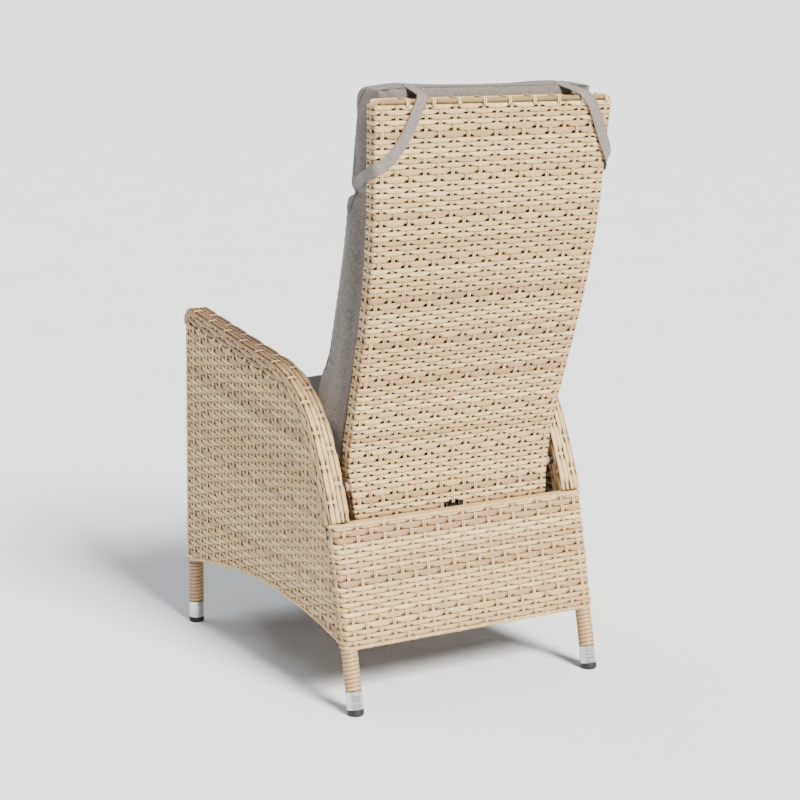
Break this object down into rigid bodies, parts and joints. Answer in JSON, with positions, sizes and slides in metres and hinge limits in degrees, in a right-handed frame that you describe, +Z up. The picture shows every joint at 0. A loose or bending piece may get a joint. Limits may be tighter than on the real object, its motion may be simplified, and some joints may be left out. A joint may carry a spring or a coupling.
{
  "type": "reclining garden armchair",
  "caption": "High-backed woven garden armchair with a reclining back on a locking gas spring, a release handle in the side and loose cushions.",
  "frame": {"origin": "on the floor, in the middle of the bounding box", "axes": "+Z up, -Y the way the sitter faces, +X to the sitter's left"},
  "size_m": [0.565, 0.6971, 1.1316],
  "materials": {
    "tube": "satin",
    "wicker": "woven strands",
    "ferrule": "brushed",
    "foot": "matte",
    "steel": "plain",
    "spring_black": "gloss",
    "rod": "polished",
    "plastic": "fine grain",
    "cushion": "woven melange",
    "strap": "sewn tape"
  },
  "bodies": {
    "frame": {"front_apron_weave": "wicker", "front_left_ferrule": "ferrule", "front_left_foot": "foot", "front_left_leg_wrap": "wicker", "front_lower_rail": "tube", "front_right_ferrule": "ferrule", "front_right_foot": "foot", "front_right_leg_wrap": "wicker", "front_seat_rail": "tube", "left_arm_band": "wicker", "left_arm_rail": "tube", "left_inner_weave": "wicker", "left_lower_rail": "tube", "left_seat_rail": "tube", "left_side_frame": "tube", "left_side_weave": "wicker", "lever_pin": "steel", "pivot_bolts": "steel", "pivot_brackets": "tube", "pivot_spacers": "steel", "rear_apron_weave": "wicker", "rear_left_ferrule": "ferrule", "rear_left_foot": "foot", "rear_left_leg_wrap": "wicker", "rear_lower_rail": "tube", "rear_right_ferrule": "ferrule", "rear_right_foot": "foot", "rear_right_leg_wrap": "wicker", "rear_upper_rail": "tube", "release_bezel": "plastic", "release_cable": "plastic", "right_arm_band": "wicker", "right_arm_rail": "tube", "right_inner_weave": "wicker", "right_lower_rail": "tube", "right_seat_rail": "tube", "right_side_frame": "tube", "right_side_weave": "wicker", "seat_cross_bars": "tube", "seat_cushion": "cushion", "seat_weave": "wicker", "spring_bracket": "tube", "spring_pin": "steel"},
    "back": {"back_frame": "tube", "back_cross_bars": "tube", "pivot_bushes": "plastic", "back_weave": "wicker", "back_cushion": "cushion", "left_cushion_strap": "strap", "right_cushion_strap": "strap", "spring_lug": "tube", "lug_pin": "steel"},
    "spring_rod": {"piston_rod": "rod", "release_head": "spring_black"},
    "spring_cylinder": {"gas_cylinder": "spring_black"},
    "release_lever": {"release_lever": "plastic"},
    "release_arm": {"release_arm": "steel"},
    "release_plunger": {"release_plunger": "steel"},
    "release_wire": {"release_wire": "steel"}
  },
  "joints": [
    {"name": "back_recline", "type": "hinge", "parent": "frame", "child": "back", "pos_m": [0, 0.20653, 0.4], "axis": [-1, 0, 0], "range_deg": [0, 30]},
    {"name": "spring_tilt", "type": "hinge", "parent": "frame", "child": "spring_rod", "pos_m": [0, -0.02047, 0.334], "axis": [1, 0, 0], "range_deg": [0, 0.34]},
    {"name": "spring_slide", "type": "slide", "parent": "spring_rod", "child": "spring_cylinder", "axis": [0, -1, 0], "range_m": [0, 0.0347]},
    {"name": "lever_pull", "type": "hinge", "parent": "frame", "child": "release_lever", "pos_m": [-0.2738, -0.19046, 0.549], "axis": [0, -1, 0], "range_deg": [0, 18], "stiffness_Nm_per_rad": 0.4, "springref_deg": -8.59},
    {"name": "arm_swing", "type": "hinge", "parent": "spring_rod", "child": "release_arm", "pos_m": [0, -0.01346, 0.32], "axis": [-1, 0, 0], "range_deg": [0, 13.5]},
    {"name": "plunger_press", "type": "slide", "parent": "spring_rod", "child": "release_plunger", "axis": [0, 1, 0], "range_m": [0, 0.0038]},
    {"name": "wire_pull", "type": "slide", "parent": "spring_rod", "child": "release_wire", "axis": [0, -1, 0], "range_m": [0, 0.0043]}
  ],
  "couplings": [
    {"joint": "spring_tilt", "follows": "back_recline", "ratio": 0.011},
    {"joint": "spring_slide", "follows": "back_recline", "m_per_rad": 0.06604},
    {"joint": "arm_swing", "follows": "lever_pull", "ratio": 0.7444},
    {"joint": "plunger_press", "follows": "lever_pull", "m_per_rad": 0.01178},
    {"joint": "wire_pull", "follows": "lever_pull", "m_per_rad": 0.01328}
  ]
}
